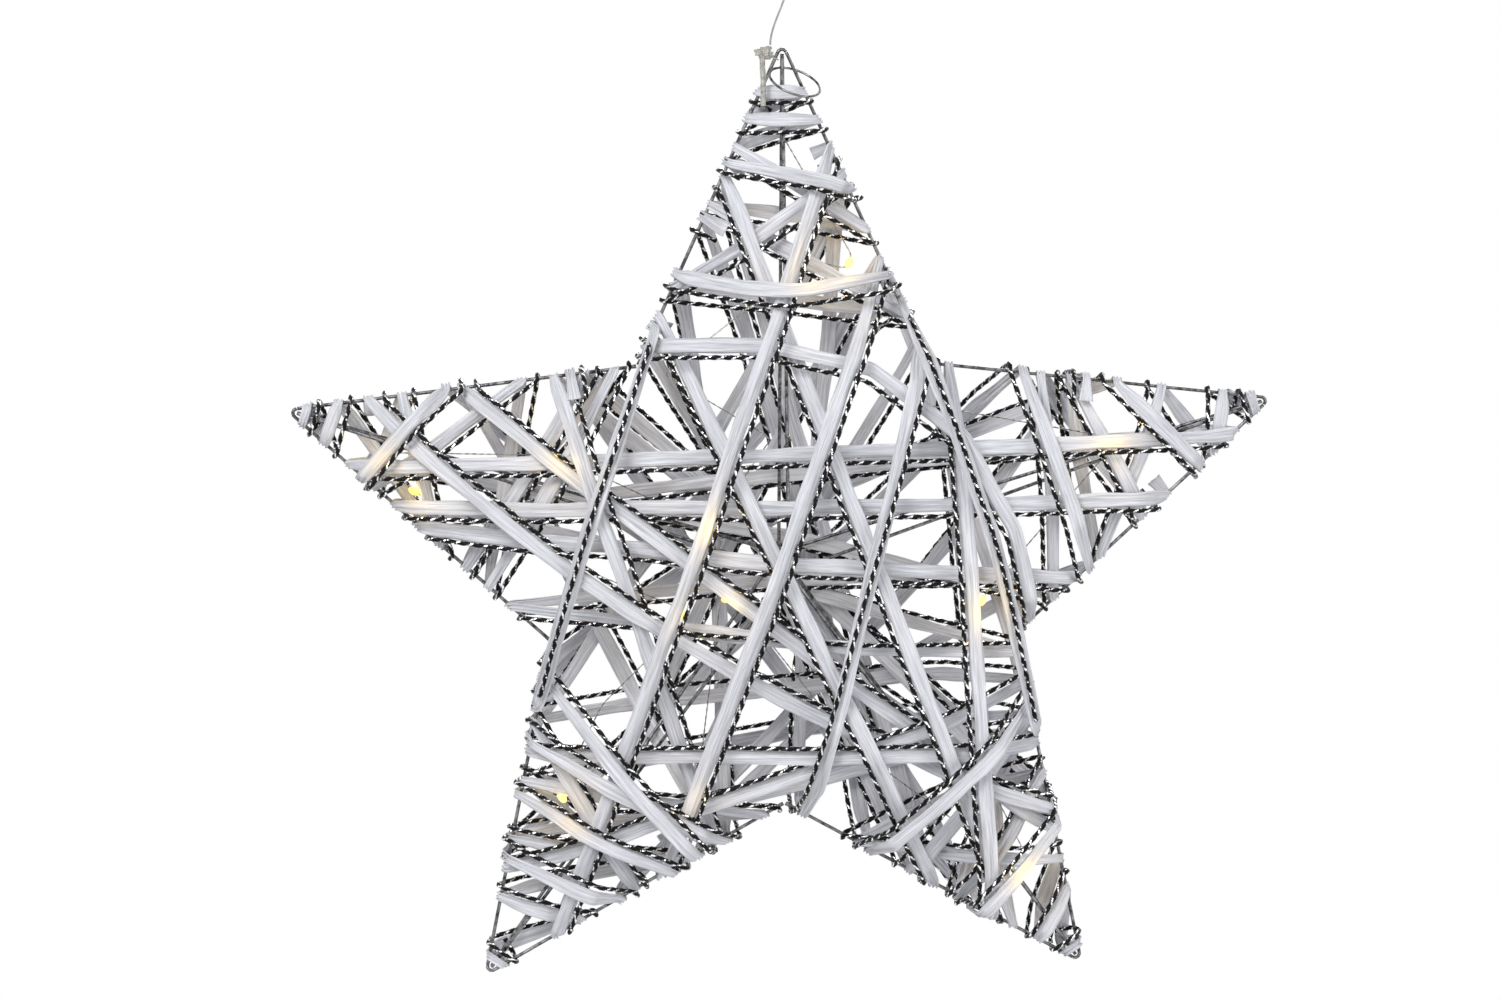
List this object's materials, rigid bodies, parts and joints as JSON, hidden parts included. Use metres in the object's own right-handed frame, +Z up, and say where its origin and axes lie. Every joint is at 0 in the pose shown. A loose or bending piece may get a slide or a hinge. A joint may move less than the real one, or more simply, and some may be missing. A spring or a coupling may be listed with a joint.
{
  "type": "hanging light star",
  "caption": "Wire-framed star wound with white paper ribbon and silver cord, lit from inside by a fairy-light string and hung by its thin lead from a battery box.",
  "frame": {"origin": "middle of the hanging eye on top of the battery box", "axes": "+Z up, the star's front looks along -Y, +X to the right seen from the front; the star lies in the plane y = 0"},
  "size_m": [0.3961, 0.0912, 0.4845],
  "materials": {
    "galvanised_wire": "bright galvanised wire",
    "paper_ribbon": "matte white paper ribbon with lengthwise fibres",
    "silver_cord": "twisted metallic silver cord over a dark core",
    "silver_wire": "fine silver-coloured light wire",
    "light_drop": "clear drop that glows warm white",
    "clear_plastic": "clear flexible plastic",
    "box_plastic": "satin white plastic",
    "cell_body": "wrapped dry cell",
    "contact_metal": "nickel-plated strip"
  },
  "bodies": {
    "star": {"outline_top_1": "galvanised_wire", "outline_top_2": "galvanised_wire", "outline_right_1": "galvanised_wire", "outline_right_2": "galvanised_wire", "outline_right_leg_1": "galvanised_wire", "outline_right_leg_2": "galvanised_wire", "outline_left_leg_1": "galvanised_wire", "outline_left_leg_2": "galvanised_wire", "outline_left_1": "galvanised_wire", "outline_left_2": "galvanised_wire", "ridge_front_top": "galvanised_wire", "ridge_front_right": "galvanised_wire", "ridge_front_right_leg": "galvanised_wire", "ridge_front_left_leg": "galvanised_wire", "ridge_front_left": "galvanised_wire", "ridge_back_top": "galvanised_wire", "ridge_back_right": "galvanised_wire", "ridge_back_right_leg": "galvanised_wire", "ridge_back_left_leg": "galvanised_wire", "ridge_back_left": "galvanised_wire", "hub_front": "galvanised_wire", "hub_back": "galvanised_wire", "ribbon_top": "paper_ribbon", "ribbon_right": "paper_ribbon", "ribbon_right_leg": "paper_ribbon", "ribbon_left_leg": "paper_ribbon", "ribbon_left": "paper_ribbon", "silver_cord_top": "silver_cord", "silver_cord_right": "silver_cord", "silver_cord_right_leg": "silver_cord", "silver_cord_left_leg": "silver_cord", "silver_cord_left": "silver_cord", "light_string": "silver_wire", "lamp_01": "light_drop", "lamp_02": "light_drop", "lamp_03": "light_drop", "lamp_04": "light_drop", "lamp_05": "light_drop", "lamp_06": "light_drop", "lamp_07": "light_drop", "lamp_08": "light_drop", "lamp_09": "light_drop", "lamp_10": "light_drop", "lamp_11": "light_drop", "lamp_12": "light_drop", "lamp_13": "light_drop", "lead": "clear_plastic", "sleeve": "clear_plastic", "tie": "clear_plastic", "tie_loop": "clear_plastic", "battery_case": "box_plastic", "cell_left": "cell_body", "cell_right": "cell_body", "terminal_left": "contact_metal", "terminal_right": "contact_metal", "bridge_plate": "contact_metal"},
    "ring": {"ring": "galvanised_wire"},
    "battery_cover": {"battery_cover": "box_plastic"},
    "switch_knob": {"switch_knob": "box_plastic"}
  },
  "joints": [
    {"name": "ring_swing", "type": "hinge", "parent": "star", "child": "ring", "pos_m": [0.00197, -0.00051, -0.10991], "axis": [0.9595, 0.1737, -0.2218], "range_deg": [-65, 0]},
    {"name": "cover_slide", "type": "slide", "parent": "star", "child": "battery_cover", "axis": [0, 0, -1], "range_m": [0, 0.045]},
    {"name": "switch_slide", "type": "slide", "parent": "star", "child": "switch_knob", "axis": [1, 0, 0], "range_m": [-0.003, 0]}
  ]
}
